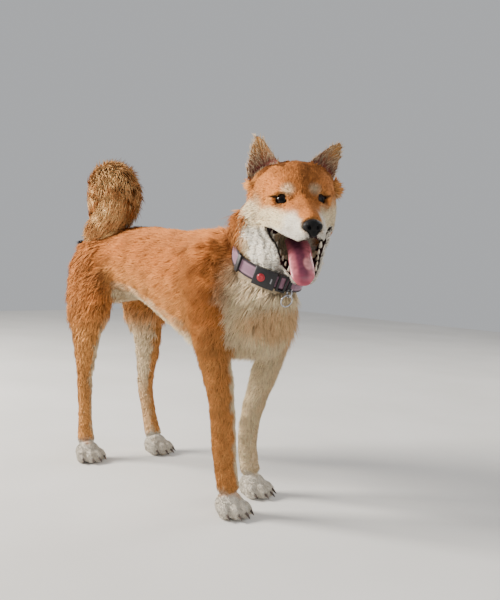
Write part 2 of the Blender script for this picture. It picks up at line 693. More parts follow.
def head_skin():
    corners = from_head([[a, b, c] for a in (-100, 72) for b in (-75, 75) for c in (-110, 62)])
    low, high = corners.min(0), corners.max(0)
    high[2] = 508
    field = Field(low, high, HEAD_VOXEL)
    for node, softness in (("head", 1), ("neck", 8), ("jaw", 2.5), ("torso", 10)):
        field.melt(node, softness)
    field.soften(1.7)
    for node in ("ear_right", "ear_left"):
        field.melt(node, 5)
    field.soften(0.7)
    places = to_head(field.places().reshape(-1, 3))
    gap = eye_gap(places).reshape(field.shape)
    field.values = np.maximum(field.values, -gap).astype(np.float32)
    points, faces = field.surface()
    middle = points[faces].mean(1)
    points, faces = keep_faces(points, faces, head_side(middle) > -SKIN_OVERLAP)
    normals = normals_of(points, faces)
    return points - normals * head_depth(points)[:, None], faces


def sample_skin(points, faces, normals, weights, count):
    """Random places on a skin of quads, with their normals."""
    triangles = np.concatenate([faces[:, [0, 1, 2]], faces[:, [0, 2, 3]]])
    weights = np.concatenate([weights, weights])
    a, b, c = (points[triangles[:, k]] for k in range(3))
    share = np.linalg.norm(np.cross(b - a, c - a), axis=1) * weights
    pick = np.searchsorted(np.cumsum(share), random.uniform(0, share.sum(), count))
    pick = np.minimum(pick, len(triangles) - 1)
    u, v = random.uniform(size=(2, count))
    fold = u + v > 1
    u, v = np.where(fold, 1 - u, u), np.where(fold, 1 - v, v)
    mix = np.stack([1 - u - v, u, v], axis=1)
    chosen = triangles[pick]
    place = (points[chosen] * mix[:, :, None]).sum(1)
    normal = unit((normals[chosen] * mix[:, :, None]).sum(1))
    return place, normal


def lean(lie, normals, angle):
    """Directions that rise from the lie towards the normal by an angle."""
    return lie * np.cos(angle)[:, None] + normals * np.sin(angle)[:, None]


def comb(normals, lie, lift):
    """Each tuft's own lie along the skin, its side and its lift, strayed a little."""
    lie = unit(lie - normals * (lie * normals).sum(1, keepdims=True))
    turn = random.normal(0, STRAY, len(lie))
    lie = lean(lie, np.cross(normals, lie), turn)
    lift = np.clip(lift * random.uniform(0.6, 1.5, len(lie)), 0.03, 1.3)
    return lie, np.cross(normals, lie), lift


def repeat_tuft(rows, pattern, height):
    """All tufts as one mesh: points, triangles, each point's tuft and its height along it."""
    count, corners = len(rows[0]), len(rows)
    points = np.stack(rows, axis=1).reshape(-1, 3)
    faces = np.array(pattern)[None] + corners * np.arange(count)[:, None, None]
    return points, faces.reshape(-1, 3), np.repeat(np.arange(count), corners), np.tile(height, count)


def build_tufts(roots, normals, lie, length, width, lift, curl):
    """Closed three-sided tapered tufts with one bend."""
    lie, side, lift = comb(normals, lie, lift)
    rise = lean(lie, normals, lift)
    ahead = lean(lie, normals, lift * curl)
    length, width = length[:, None], width[:, None]
    up = np.cross(rise, side) * -1
    ring = [side * 0.5, -side * 0.5, up * 0.45]
    base = roots - normals * 0.8
    middle = roots + rise * length * 0.52
    rows = [base + corner * width for corner in ring]
    rows += [middle + corner * width * 0.8 for corner in ring]
    rows.append(middle + ahead * length * 0.48)
    foot = [[0, 2, 1], [0, 1, 4], [0, 4, 3], [1, 2, 5], [1, 5, 4], [2, 0, 3], [2, 3, 5]]
    end = [[3, 4, 6], [4, 5, 6], [5, 3, 6]]
    return repeat_tuft(rows, foot + end, [0, 0, 0, 0.52, 0.52, 0.52, 1])


def build_spikes(roots, normals, lie, length, width, lift):
    """Closed straight tufts of four triangles, for the shorter fur."""
    lie, side, lift = comb(normals, lie, lift)
    base = roots - normals * 0.4
    half = width[:, None] * 0.5
    tip = roots + lean(lie, normals, lift) * length[:, None]
    rows = [base + side * half, base - side * half, base + normals * half, tip]
    return repeat_tuft(rows, [[0, 2, 1], [0, 1, 3], [1, 2, 3], [2, 0, 3]], [0, 0, 0, 1])


def wrap_around(points, centres):
    """A place on an unwrap round a line of centres: how far along it, and the angle round it."""
    steps = np.linalg.norm(np.diff(centres, axis=0), axis=1)
    travelled = np.concatenate([[0], np.cumsum(steps)])
    best = np.full(len(points), 1e9)
    along = np.zeros(len(points))
    angle = np.zeros(len(points))
    for index, (start, end) in enumerate(zip(centres[:-1], centres[1:])):
        direction = unit(end - start)
        reach = (points - start) @ direction
        inside = np.clip(reach, 0, steps[index])
        if index == 0:
            inside = np.minimum(reach, steps[index])
        if index == len(steps) - 1:
            inside = np.maximum(reach, 0)
        offset = points - start - np.clip(inside, 0, steps[index])[:, None] * direction
        away = np.linalg.norm(offset, axis=1)
        first = unit(np.cross(direction, [0.13, 0.9, 0.41]))
        second = np.cross(direction, first)
        closer = away < best
        best = np.where(closer, away, best)
        along = np.where(closer, travelled[index] + inside, along)
        angle = np.where(closer, np.arctan2(offset @ second, offset @ first), angle)
    along = (along - along.min()) / (along.max() - along.min() + 1e-9)
    return np.stack([angle / (2 * np.pi) + 0.5, along], axis=1) * 0.98 + 0.01


def dress(name, roots, colours, built, centres, contrast=0.15):
    """One piece of the coat, with its colours and its OFBake map."""
    points, faces, tuft, height = built
    shade = random.normal(1, contrast, len(roots))
    ends = 1 + 3 * contrast * (height - 0.72)
    shaded = np.clip(colours[tuft] * (shade[tuft] * ends)[:, None], 0, 1)
    uv = wrap_around(roots, np.asarray(centres, float))
    corner = random.uniform(-0.0015, 0.0015, (len(points), 2))
    piece = make_mesh("coat_" + name, points, faces, coat_material, shaded, uv[tuft] + corner)
    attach(piece, "root")


def new_material(name, roughness=0.7, specular=0.5, coat=0.0, sheen=0.0, metallic=0.0):
    material = bpy.data.materials.new(name)
    material.use_nodes = True
    tree = material.node_tree
    shader = tree.nodes["Principled BSDF"]
    shader.inputs["Roughness"].default_value = roughness
    shader.inputs["Specular IOR Level"].default_value = specular
    shader.inputs["Coat Weight"].default_value = coat
    shader.inputs["Coat Roughness"].default_value = 0.06
    shader.inputs["Sheen Weight"].default_value = sheen
    shader.inputs["Sheen Roughness"].default_value = 0.6
    shader.inputs["Metallic"].default_value = metallic
    return material, tree, shader


def add_noise(tree, scale, detail=4.0, kind="ShaderNodeTexNoise"):
    """A noise texture in the object's own metres."""
    texture = tree.nodes.new(kind)
    place = tree.nodes.new("ShaderNodeTexCoord")
    tree.links.new(place.outputs["Object"], texture.inputs["Vector"])
    texture.inputs["Scale"].default_value = scale
    if kind == "ShaderNodeTexNoise":
        texture.inputs["Detail"].default_value = detail
    return texture


def add_bump(tree, shader, height, distance, strength=1.0):
    bump = tree.nodes.new("ShaderNodeBump")
    bump.inputs["Distance"].default_value = distance
    bump.inputs["Strength"].default_value = strength
    tree.links.new(height, bump.inputs["Height"])
    tree.links.new(bump.outputs["Normal"], shader.inputs["Normal"])


def add_ramp(tree, factor, stops):
    """A colour ramp through stops of a place and a linear colour."""
    colours = tree.nodes.new("ShaderNodeValToRGB")
    elements = colours.color_ramp.elements
    while len(elements) < len(stops):
        elements.new(0.5)
    for element, (place, colour) in zip(elements, stops):
        element.position = place
        element.color = (*colour, 1.0)
    tree.links.new(factor, colours.inputs["Fac"])
    return colours.outputs["Color"]


def tinted(tree, colour, factor, low, high):
    """A colour made darker and lighter by a noise."""
    levels = tree.nodes.new("ShaderNodeMapRange")
    levels.inputs["To Min"].default_value = low
    levels.inputs["To Max"].default_value = high
    tree.links.new(factor, levels.inputs["Value"])
    scale = tree.nodes.new("ShaderNodeVectorMath")
    scale.operation = "SCALE"
    tree.links.new(colour, scale.inputs[0])
    tree.links.new(levels.outputs["Result"], scale.inputs["Scale"])
    return scale.outputs["Vector"]


def marked_colour(tree, shader, factor, low, high):
    """The colour stored on the mesh, varied by a noise."""
    attribute = tree.nodes.new("ShaderNodeAttribute")
    attribute.attribute_name = "markings"
    colour = tinted(tree, attribute.outputs["Color"], factor, low, high)
    tree.links.new(colour, shader.inputs["Base Color"])


def marked_material(name, roughness, noise_scale, bump_scale=0, bump_depth=0.0, **settings):
    """A material that takes its colour from the markings stored on the mesh."""
    material, tree, shader = new_material(name, roughness, **settings)
    marked_colour(tree, shader, add_noise(tree, noise_scale).outputs["Fac"], 0.84, 1.16)
    if bump_scale:
        grain = add_noise(tree, bump_scale)
        add_bump(tree, shader, grain.outputs["Fac"], bump_depth)
    return material


def mottled_material(name, dark, light, scale, roughness, bump_depth=0.0, **settings):
    """A material whose colour wanders between two."""
    material, tree, shader = new_material(name, roughness, **settings)
    texture = add_noise(tree, scale)
    colour = add_ramp(tree, texture.outputs["Fac"], [(0.35, dark), (0.65, light)])
    tree.links.new(colour, shader.inputs["Base Color"])
    if bump_depth:
        add_bump(tree, shader, texture.outputs["Fac"], bump_depth)
    return material


def leather_material():
    """The nose: near black, pebbled and a little wet."""
    material, tree, shader = new_material("nose leather", 0.5, specular=0.16, coat=0.06)
    cells = add_noise(tree, 900, kind="ShaderNodeTexVoronoi")
    broad = add_noise(tree, 120)
    colour = add_ramp(tree, broad.outputs["Fac"], [(0.3, linear(4, 4, 5)), (0.7, linear(16, 15, 17))])
    tree.links.new(colour, shader.inputs["Base Color"])
    add_bump(tree, shader, cells.outputs["Distance"], 0.0005, 0.8)
    return material


def eye_material():
    """A dark wet eye, with fine streaks over the colours of the pupil and the iris."""
    material, tree, shader = new_material("eye", 0.1, specular=0.12, coat=0.15)
    marked_colour(tree, shader, add_noise(tree, 900).outputs["Fac"], 0.7, 1.3)
    return material


def webbing_material():
    """Woven strap: ribs across it in the bump, colour from the mesh."""
    material, tree, shader = new_material("webbing", 0.85, specular=0.2, sheen=0.2)
    place = tree.nodes.new("ShaderNodeUVMap")
    place.uv_map = "weave"
    ribs = tree.nodes.new("ShaderNodeTexWave")
    ribs.inputs["Scale"].default_value = 60
    ribs.inputs["Distortion"].default_value = 0.6
    tree.links.new(place.outputs["UV"], ribs.inputs["Vector"])
    marked_colour(tree, shader, ribs.outputs["Fac"], 0.72, 1.15)
    add_bump(tree, shader, ribs.outputs["Fac"], 0.0005, 0.7)
    return material


skin_material = marked_material("skin", 0.85, 500, 1400, 0.0006, specular=0.15)
coat_material = marked_material("coat", 0.8, 260, specular=0.08)
nose_material = leather_material()
eye_look = eye_material()
tongue_material = marked_material("tongue", 0.38, 400, 1500, 0.0003, specular=0.5, coat=0.35)
tooth_material = mottled_material(
    "tooth", linear(214, 200, 172), linear(240, 233, 214), 300, 0.3, 0.0001, coat=0.3
)
claw_material = mottled_material("claw", linear(40, 32, 30), linear(96, 80, 70), 260, 0.4, 0.0002)
strap_material = webbing_material()
plastic_material = mottled_material("plastic", linear(16, 15, 17), linear(34, 32, 36), 1600, 0.5, 0.0002)
red_material = mottled_material(
    "button", linear(150, 12, 30), linear(196, 24, 44), 500, 0.35, 0.0001, coat=0.3
)
grey_material = mottled_material("grey bar", linear(112, 112, 116), linear(150, 150, 154), 700, 0.5, 0.0001)
steel_material = mottled_material(
    "steel", linear(170, 172, 176), linear(205, 206, 210), 500, 0.28, 0.0001, metallic=1.0
)
floor_material = mottled_material("floor", linear(214, 212, 208), linear(222, 220, 217), 3, 0.8)

BODY_FLESH = [node for node, _ in BODY_NODES if node not in ("head", "jaw")]
HEAD_FLESH = ["head", "jaw", "ear_right", "ear_left"]


def place_piece(piece, nodes=()):
    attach(piece, "root")
    if nodes:
        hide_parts(*nodes)


def skin_piece(name, points, faces, nodes):
    normals = normals_of(points, faces)
    group = follow_guides(points)[4]
    group[head_side(points) > -3] = HEAD_GROUP
    colours = markings(points, normals, group) * 0.82
    piece = make_mesh(name, points, faces, skin_material, colours)
    place_piece(piece, nodes)
    return normals


# The body's coat, in pieces whose tufts follow the guide lines.
def strap_rise(angle):
    """How much higher the strap runs at the back of the neck than in front."""
    return COLLAR_RISE * ((1 - np.cos(angle)) / 2) ** 6


def above_strap(points):
    """A point's angle round the neck and its height over the strap's middle line."""
    offset = points - COLLAR_AT
    angle = np.arctan2(offset @ COLLAR_LEFT, offset @ COLLAR_FRONT)
    return angle, offset @ COLLAR_AXIS - strap_rise(angle)


def collar_clear(points):
    """0 under the strap, 1 away from it."""
    return ramp(np.abs(above_strap(points)[1]), 8.5, 10.5)


def strap_room(points, lie):
    """How long a tuft may be before it would hang over the front of the strap."""
    angle, height = above_strap(points)
    down = np.maximum(-(unit(lie) @ COLLAR_AXIS), 0.2)
    room = np.maximum((height - 8.5) / down, 2.5)
    near = (height > 0) & (height < 60) & (np.abs(angle) < 2.1)
    near = near & (np.linalg.norm(points - COLLAR_AT, axis=1) < 110)
    return np.where(near, room, NO_ROOM_LIMIT)


def drift(points):
    """A smooth wandering direction that makes neighbouring tufts lean together."""
    return np.stack([noise(points + step, MIDDLE) for step in (0, 40, -40)], axis=1)


def body_share(points, group, name):
    """How many tufts a part of the skin takes for one piece of the coat."""
    names = np.array(GROUP_NAMES)[group]
    here = {
        "torso_right": (names == "torso") & (points[:, 1] < 0),
        "torso_left": (names == "torso") & (points[:, 1] >= 0),
        "neck": (names == "neck") | (names == "head"),
        "front_right": names == "front_right",
        "front_left": names == "front_left",
        "hind_right": names == "hind_right",
        "hind_left": names == "hind_left",
        "tail": names == "tail",
    }[name]
    return here * collar_clear(points) * (head_side(points) < 3)


# Pieces of the coat: name, how many tufts, their width and whether they bend.
BODY_COAT = [
    ("torso_right", 34000, 1.4, False),
    ("torso_left", 31000, 1.4, False),
    ("neck", 18000, 1.4, True),
    ("front_right", 20000, 1.1, False),
    ("front_left", 18000, 1.1, False),
    ("hind_right", 10500, 1.5, True),
    ("hind_left", 10000, 1.5, True),
    ("tail", 13000, 1.6, True),
]
LINES = {
    "torso_right": TORSO_LINE,
    "torso_left": TORSO_LINE,
    "neck": NECK_LINE,
    "front_right": FRONT_RIGHT_LINE,
    "front_left": FRONT_LEFT_LINE,
    "hind_right": HIND_RIGHT_LINE,
    "hind_left": HIND_LEFT_LINE,
}


def grow_body_coat():
    group = follow_guides(body_points)[4]
    face_group = group[body_faces].max(1)
    middle = body_points[body_faces].mean(1)
    for name, count, width, bent in BODY_COAT:
        share = body_share(middle, face_group, name)
        roots, normals = sample_skin(body_points, body_faces, body_normals, share, count)
        lie, length, lift, _, nearest = follow_guides(roots)
        own = "torso" if name.startswith("torso") else name
        group_here = np.where(nearest == HEAD_GROUP, HEAD_GROUP, GROUP_NAMES.index(own))
        clumps = noise(roots, MIDDLE)
        lie = lie + 0.16 * drift(roots)
        length = length * random.uniform(0.6, 1.12, count) * (1 + 0.12 * clumps)
        near_collar = ramp(np.abs((roots - COLLAR_AT) @ COLLAR_AXIS), 8, 40)
        lift = lift * np.where(name == "neck", 0.35 + 0.65 * near_collar, 1.0)
        length = np.minimum(length, strap_room(roots, lie))
        if name == "neck":
            length = length * (1 - 0.55 * ramp(roots[:, 0], 180, 200) * ramp(roots[:, 1], -5, 10))
            head = to_head(roots)
            length = length * (1 - 0.7 * ramp(np.abs(head[:, 1]), 30, 46) * ramp(head[:, 2], -12, 6))
        room = np.clip((roots[:, 2] - 1) / np.maximum(-lie[:, 2], 0.05), 3, 100)
        length = np.minimum(length, room)
        widths = width * random.uniform(0.75, 1.3, count) * np.where(length < 12, 0.85, 1)
        colours = markings(roots, normals, group_here)
        if bent:
            built = build_tufts(roots, normals, lie, length, widths, lift, 0.25 if name != "tail" else 0.1)
        else:
            built = build_spikes(roots, normals, lie, length * 0.85, widths, lift)
        centres = [guide[0] for guide in LINES.get(name, tail_guides)]
        dress(name, roots, colours, built, centres)


def grow_paw_coat():
    group = follow_guides(body_points)[4]
    middle = body_points[body_faces].mean(1)
    for name, (x, y) in PAW_SPOTS.items():
        near = np.hypot(middle[:, 0] - x, middle[:, 1] - y) < 48
        on_paw = near * (middle[:, 2] < 40) * (group[body_faces].max(1) == PAW_GROUP)
        share = on_paw * ramp(middle[:, 2], 0.5, 4)
        roots, normals = sample_skin(body_points, body_faces, body_normals, share, PAW_TUFTS)
        lie, length, lift = follow_guides(roots)[:3]
        lie = lie + [0.5, 0, 0] * ramp(roots[:, [2]], 20, 8)
        length = np.minimum(length, 1.5 + roots[:, 2] * 0.6) * random.uniform(0.6, 1.1, len(roots))
        colours = markings(roots, normals, np.full(len(roots), PAW_GROUP))
        widths = 0.95 * random.uniform(0.8, 1.2, len(roots))
        built = build_spikes(roots, normals, lie, length, widths, lift)
        centres = [(x - 25, y, 12), (x + 25, y, 12)]
        dress(name, roots, colours, built, centres)


def head_lie(head):
    """The way the head's coat lies and its length and lift, from the nose back over the head."""
    x, y, z = head.T
    side = np.clip(y / 30, -1, 1)
    outward = side[:, None] * [0, 1, 0]
    lie = np.array([-1.0, 0, 0.05]) + 0.15 * outward
    cheek = ramp(-x, -5, 35) * ramp(np.abs(y), 22, 42) * ramp(24 - z, 0, 26)
    lie = blend_in(lie, np.array([-0.8, 0, -0.5]) + 0.5 * outward, cheek)
    ruff = ramp(-x, 48, 75) * ramp(20 - z, 0, 30)
    lie = blend_in(lie, np.array([-0.5, 0, -0.8]) + 0.4 * outward, ruff)
    muzzle = ramp(x, 8, 20) * ramp(np.abs(y), 8, 14)
    lie[:, 2] -= 0.35 * muzzle
    for direction in (-1, 1):
        across, up, out = eye_place(head, direction)
        away = np.stack([-0.3 * np.ones(len(head)), direction * across / 9, up / 6], axis=1)
        near = (1 - ramp(np.hypot(across, up * 1.6), 9, 17)) * (out > 0)
        lie = blend_in(lie, unit(away), near)
    length = np.interp(x, [-95, -70, -45, -15, 5, 25, 65], [26, 22, 14, 8, 5.4, 4, 2.6])
    crown = ramp(z, 15, 35)
    length = length * (1 - 0.4 * crown * ramp(x, -90, -60))
    lift = np.interp(x, [-95, -50, -10, 30, 65], [0.38, 0.34, 0.32, 0.3, 0.26])
    return lie, length, lift


def on_ear(points, normals):
    """How surely a point is on an ear and faces its inside, its height there, and the ear's lie."""
    head = to_head(points)
    normal = normals @ HEAD_TURN
    share = np.zeros(len(head))
    inside = np.zeros(len(head))
    height = np.zeros(len(head))
    lie = np.zeros((len(head), 3))
    for which, direction in (("right", -1), ("left", 1)):
        up_share, across, ahead, up, front = ear_place(head, which)
        edge = 0.5 * EAR_WIDTH[which] * np.interp(up_share, EAR_HEIGHTS, EAR_SHAPE)
        here = ramp(up_share, 0.0, 0.14) * (np.abs(across) < 36) * (direction * head[:, 1] > 3)
        here = here * (np.abs(ahead + 9) < 16) * ramp(head[:, 2], 20, 34)
        share = np.maximum(share, here)
        bare = ramp(normal @ front, 0.2, 0.5) * ramp(edge - np.abs(across), 1.0, 4.5)
        bare = bare * ramp(ahead, -19, -15) * ramp(2 - ahead, 0, 5)
        inside = np.maximum(inside, here * bare)
        height = np.where(here > 0, up_share, height)
        lie = lie + here[:, None] * (up + 0.25 * np.sign(across)[:, None] * np.cross(up, front))
    return share, inside, height, lie


def nose_gap(head):
    return (np.linalg.norm((head - [60, 0, -28]) / [9.6, 12.8, 9.2], axis=1) - 1) * 10


def grow_head_coat():
    middle = head_points[head_faces].mean(1)
    normal = unit(head_normals[head_faces].mean(1))
    head = to_head(middle)
    long_hair = head_lie(head)[1] + 3.5 * noise(middle, FINE) > 7.5
    ears, bare = on_ear(middle, normal)[:2]
    open_skin = (eye_gap(head) > 1.0) * (nose_gap(head) > 0.6) * (mouth_depth(head) < -0.8)
    open_skin = open_skin * collar_clear(middle) * (head_side(middle) > -3)
    open_skin = open_skin * (faces_mouth(head, normal @ HEAD_TURN) < 0.5)
    furry, left = open_skin * (ears < 0.05), head[:, 1] >= 0
    pieces = [
        ("ruff_right", furry * long_hair * ~left, 11000, 1.35),
        ("ruff_left", furry * long_hair * left * (head[:, 2] > -56), 11500, 1.35),
        ("face_right", furry * ~long_hair * ~left, 24000, 0.95),
        ("face_left", furry * ~long_hair * left, 24000, 0.95),
        ("ears", open_skin * (ears >= 0.05) * (1 - 0.9 * bare), 17000, 0.75),
    ]
    for name, share, count, width in pieces:
        if name.startswith("face"):
            share = share * np.interp(head[:, 0], [-60, -10, 60], [0.6, 1.0, 1.9])
        roots, normals = sample_skin(head_points, head_faces, head_normals, share, count)
        places = to_head(roots)
        lie, length, lift = head_lie(places)
        if name == "ears":
            _, inside, height, lie = on_ear(roots, normals)
            length = np.where(inside > 0.5, 9, 4.0 - 2.0 * np.clip(height, 0, 1))
            edge = (inside > 0.02) & (inside <= 0.5)
            length = np.where(edge, 5.5 - 2.5 * np.clip(height, 0, 1), length)
            lift = np.where(inside > 0.5, 0.3, 0.16)
        lie = lie @ HEAD_TURN.T
        lie = lie + 0.12 * drift(roots)
        length = length * random.uniform(0.65, 1.15, count)
        if name.startswith("ruff"):
            length = np.minimum(length, strap_room(roots, lie))
            length = length * (1 - 0.45 * ramp(-places[:, 2], 40, 60))
        room = np.minimum(eye_gap(places), -mouth_depth(places))
        length = np.minimum(length, 2.2 + 0.9 * np.maximum(room, 0))
        widths = width * random.uniform(0.75, 1.25, count) * np.where(length < 4, 0.8, 1)
        colours = markings(roots, normals, np.full(count, HEAD_GROUP))
        if name == "ears":
            colours = blend_in(colours, CREAM, 0.6 * ramp(inside, 0.02, 0.4))
        if name.startswith("ruff"):
            built = build_tufts(roots, normals, lie, length, widths, lift, 0.3)
        else:
            built = build_spikes(roots, normals, lie, length, widths, lift)
        centres = from_head([(-100, 0, -10), (-50, 0, -8), (0, 0, -16), (70, 0, -34)])
        dress(name, roots, colours, built, centres, 0.21)


body_points, body_faces = body_skin()
head_points, head_faces = head_skin()
body_normals = skin_piece("body_skin", body_points, body_faces, BODY_FLESH)
head_normals = skin_piece("head_skin", head_points, head_faces, HEAD_FLESH)
grow_body_coat()
grow_paw_coat()
grow_head_coat()


# Eyes, nose, tongue, teeth and claws.
def capped_faces(rows, around):
    """Triangles for rows of points round an axis, closed by the first and the last point."""
    faces = []
    last = rows * around + 1
    for k in range(around):
        after = (k + 1) % around
        faces.append((0, 1 + after, 1 + k))
        faces.append((last, last - around + k, last - around + after))
        for row in range(rows - 1):
            a, b = 1 + row * around + k, 1 + row * around + after
            faces.append((a, b, b + around))
            faces.append((a, b + around, a + around))
    return np.array(faces)


def ring_faces(rows, around, closed=True):
    """Quads between rows of points, each a closed section, the last row joined to the first if closed."""
    faces = []
    for row in range(rows if closed else rows - 1):
        low, high = row * around, (row + 1) % rows * around
        for k in range(around):
            after = (k + 1) % around
            faces.append((low + k, high + k, high + after, low + after))
    return faces


def ball_piece(name, centre, radius, material, colour_of, rows=40, around=64):
    """A round ball whose pole points along its gaze, with colours by the angle from the pole."""
    turns = np.linspace(0, np.pi, rows + 1)
    sweep = np.linspace(0, 2 * np.pi, around, endpoint=False)
    facing, first, second = centre[1]
    points = []
    for turn in turns[1:-1]:
        for angle in sweep:
            across = np.cos(angle) * first + np.sin(angle) * second
            points.append(centre[0] + radius * (np.cos(turn) * facing + np.sin(turn) * across))
    points = np.array([centre[0] + radius * facing, *points, centre[0] - radius * facing])
    faces = capped_faces(rows - 1, around)[:, ::-1]
    angles = np.degrees(np.arccos(np.clip((points - centre[0]) @ facing / radius, -1, 1)))
    return make_mesh(name, points, faces, material, colour_of(angles))


def eye_colour(angles):
    """Pupil, iris, its dark edge, and the white, by degrees from the gaze."""
    pupil, inner, outer = linear(4, 3, 3), linear(26, 14, 9), linear(32, 18, 11)
    colours = np.array([pupil, pupil, inner, outer, linear(8, 6, 5), linear(30, 22, 20)])
    stops = [0, 22, 25, 38, 46, 54]
    return np.stack([np.interp(angles, stops, channel) for channel in colours.T], axis=1)


def build_eyes():
    for name, direction in (("eye_right", -1), ("eye_left", 1)):
        centre = from_head([-EYE_BACK, direction * EYE_SIDE, 0])
        gaze = unit(HEAD_TURN @ np.array([0.94, direction * 0.26, 0.02]))
        first = unit(np.cross(gaze, HEAD_TURN @ np.array([0, 0, 1.0])))
        axes = (gaze, first, np.cross(gaze, first))
        piece = ball_piece(name + "_ball", (centre, axes), EYE_RADIUS - 0.2, eye_look, eye_colour)
        place_piece(piece, [name])


def smooth_node(node, voxel, soft):
    """A node's solid as a fine smooth mesh."""
    points, _ = node_mesh(node)
    field = Field(points.min(0) - 4, points.max(0) + 4, voxel)
    field.melt(node, 0.5)
    field.soften(soft)
    return field.surface()


def build_nose():
    points, faces = smooth_node("nose", 0.6, 0.7)
    piece = make_mesh("nose_leather", points, faces, nose_material)
    place_piece(piece, ["nose"])


def build_tongue():
    points, faces = smooth_node("tongue", 0.9, 1.2)
    head = to_head(points)
    inner, outer, wet = linear(122, 62, 82), linear(214, 118, 128), linear(232, 158, 158)
    rim = ramp(np.abs(head[:, 1] + 3), 3, 12)
    colours = inner + (outer - inner) * rim[:, None]
    fold = spot(head, (24, 5, -76), (18, 7, 9))
    colours = blend_in(colours, wet, 0.8 * fold)
    tip = ramp(-head[:, 2], 84, 102)
    colours = blend_in(colours, linear(188, 52, 78), 0.55 * tip)
    colours = colours * (1 + 0.1 * noise(points, FINE))[:, None]
    piece = make_mesh("tongue_wet", points, faces, tongue_material, np.clip(colours, 0, 1))
    place_piece(piece, ["tongue"])


def cone_points(base, tip, radius, around=10, rows=5, bend=(0, 0, 0)):
    """A closed curved cone: points and triangles."""
    axis = unit(tip - base)
    first = unit(np.cross(axis, [0.3, 0.8, 0.5]))
    second = np.cross(axis, first)
    points = [base]
    for row in range(rows):
        share = row / rows
        middle = base + (tip - base) * share + np.array(bend) * share * (1 - share) * 2
        wide = radius * (1 - share) ** 0.6
        for k in range(around):
            angle = 2 * np.pi * k / around
            points.append(middle + wide * (np.cos(angle) * first + np.sin(angle) * second))
    points.append(tip)
    return np.array(points), capped_faces(rows, around)


def joined(parts):
    """Several meshes of triangles as one."""
    points, faces, start = [], [], 0
    for part_points, part_faces in parts:
        points.append(part_points)
        faces.append(part_faces + start)
        start += len(part_points)
    return np.concatenate(points), np.concatenate(faces)


def from_jaw(points):
    return from_head(np.asarray(points) @ JAW_TURN.T + HINGE)


def build_teeth():
    cones = []
    for x, height, wide in LOWER_TEETH:
        for direction in (-1, 1):
            side = direction * np.interp(x, RIM_X, RIM_WIDTH) * 0.84
            rim = np.interp(x, RIM_X, RIM_HEIGHT)
            base, tip = from_jaw([(x, side, rim - 6), (x + 1, side * 0.98, rim + height)])
            cones.append(cone_points(base, tip, wide))
    for x, height, wide in UPPER_TEETH:
        for direction in (-1, 1):
            side = direction * np.interp(x, LIP_X, LIP_WIDTH) * 0.8
            lip = np.interp(x, LIP_X, LIP_HEIGHT)
            base, tip = from_head([(x, side, lip + 6), (x, side * 0.98, lip - height)])
            cones.append(cone_points(base, tip, wide))
    points, faces = joined(cones)
    piece = make_mesh("teeth", points, faces, tooth_material)
    place_piece(piece)


def build_claws():
    cones = []
    for name, (x, y) in PAW_SPOTS.items():
        angle = math.radians(PAW_TURNS[name])
        for place in (-1.5, -0.5, 0.5, 1.5):
            reach = 31 if abs(place) < 1 else 22
            ends = np.array([[reach - 5, place * 12.4, 9.2], [reach + 4.6, place * 12.6, 3.4]])
            spun = ends.copy()
            spun[:, 0] = x + ends[:, 0] * math.cos(angle) - ends[:, 1] * math.sin(angle)
            spun[:, 1] = y + ends[:, 0] * math.sin(angle) + ends[:, 1] * math.cos(angle)
            cones.append(cone_points(spun[0], spun[1], 2.1, bend=(0, 0, 1.4)))
    points, faces = joined(cones)
    piece = make_mesh("claws", points, faces, claw_material)
    place_piece(piece)


# The collar: a woven strap, its slides, a buckle with a button, a loop and a ring.
def collar_point(degrees, out, along):
    angle = np.radians(degrees)
    return (
        COLLAR_AT
        + (COLLAR_RADII[0] + out) * np.cos(angle) * COLLAR_FRONT
        + (COLLAR_RADII[1] + out) * np.sin(angle) * COLLAR_LEFT
        + (along + strap_rise(angle)) * COLLAR_AXIS
    )


def collar_band(start, end, section, steps):
    """A section of (out, along) points swept round the collar: points, quads and the turns in degrees."""
    closed = end - start >= 359.9
    turns = np.linspace(start, end, steps, endpoint=not closed)
    around = len(section)
    points = np.array([collar_point(turn, out, along) for turn in turns for out, along in section])
    faces = ring_faces(steps, around, closed)
    if not closed:
        half = around // 2
        for k in range(half - 1):
            low, high = k, around - 1 - k
            faces.append((low, low + 1, high - 1, high))
            last = (steps - 1) * around
            faces.append((last + low, last + high, last + high - 1, last + low + 1))
    return points, np.array(faces), turns


def rounded_section(inner, outer, half, corner):
    """A rounded flat section from the inside up round the outside, as an even count of points."""
    inner_row = [(inner, -half + corner), (inner, half - corner)]
    bevel = corner * 0.3
    top = [(inner + bevel, half - bevel), (inner + corner, half)] if outer - inner > 2 * corner else []
    bottom = [(inner + corner, -half), (inner + bevel, -half + bevel)] if top else []
    outer_row = [(outer - corner, half), (outer - bevel, half - bevel), (outer, half - corner)]
    outer_row += [(outer, -half + corner), (outer - bevel, -half + bevel), (outer - corner, -half)]
    return inner_row + top + outer_row + bottom


def ring_mesh(radius, wire, centre, first, second, turns=64, around=14):
    """A ring of round wire: points and quads."""
    normal = np.cross(first, second)
    points = []
    for turn in np.linspace(0, 2 * np.pi, turns, endpoint=False):
        spoke = np.cos(turn) * first + np.sin(turn) * second
        for angle in np.linspace(0, 2 * np.pi, around, endpoint=False):
            points.append(centre + spoke * (radius + wire * np.cos(angle)) + normal * wire * np.sin(angle))
    return np.array(points), np.array(ring_faces(turns, around))


STRAP_TOP = COLLAR_THICKNESS
STRAP_HALF = COLLAR_WIDTH / 2
LIFTED = STRAP_TOP + CLEARANCE
BUCKLE_TOP = LIFTED + 6.7


def place_band(name, turns, section, steps, nodes, material):
    """A closed length of a section round the collar, as one piece."""
    points, faces, _ = collar_band(*turns, section, steps)
    place_piece(make_mesh(name, points, faces, material), nodes)


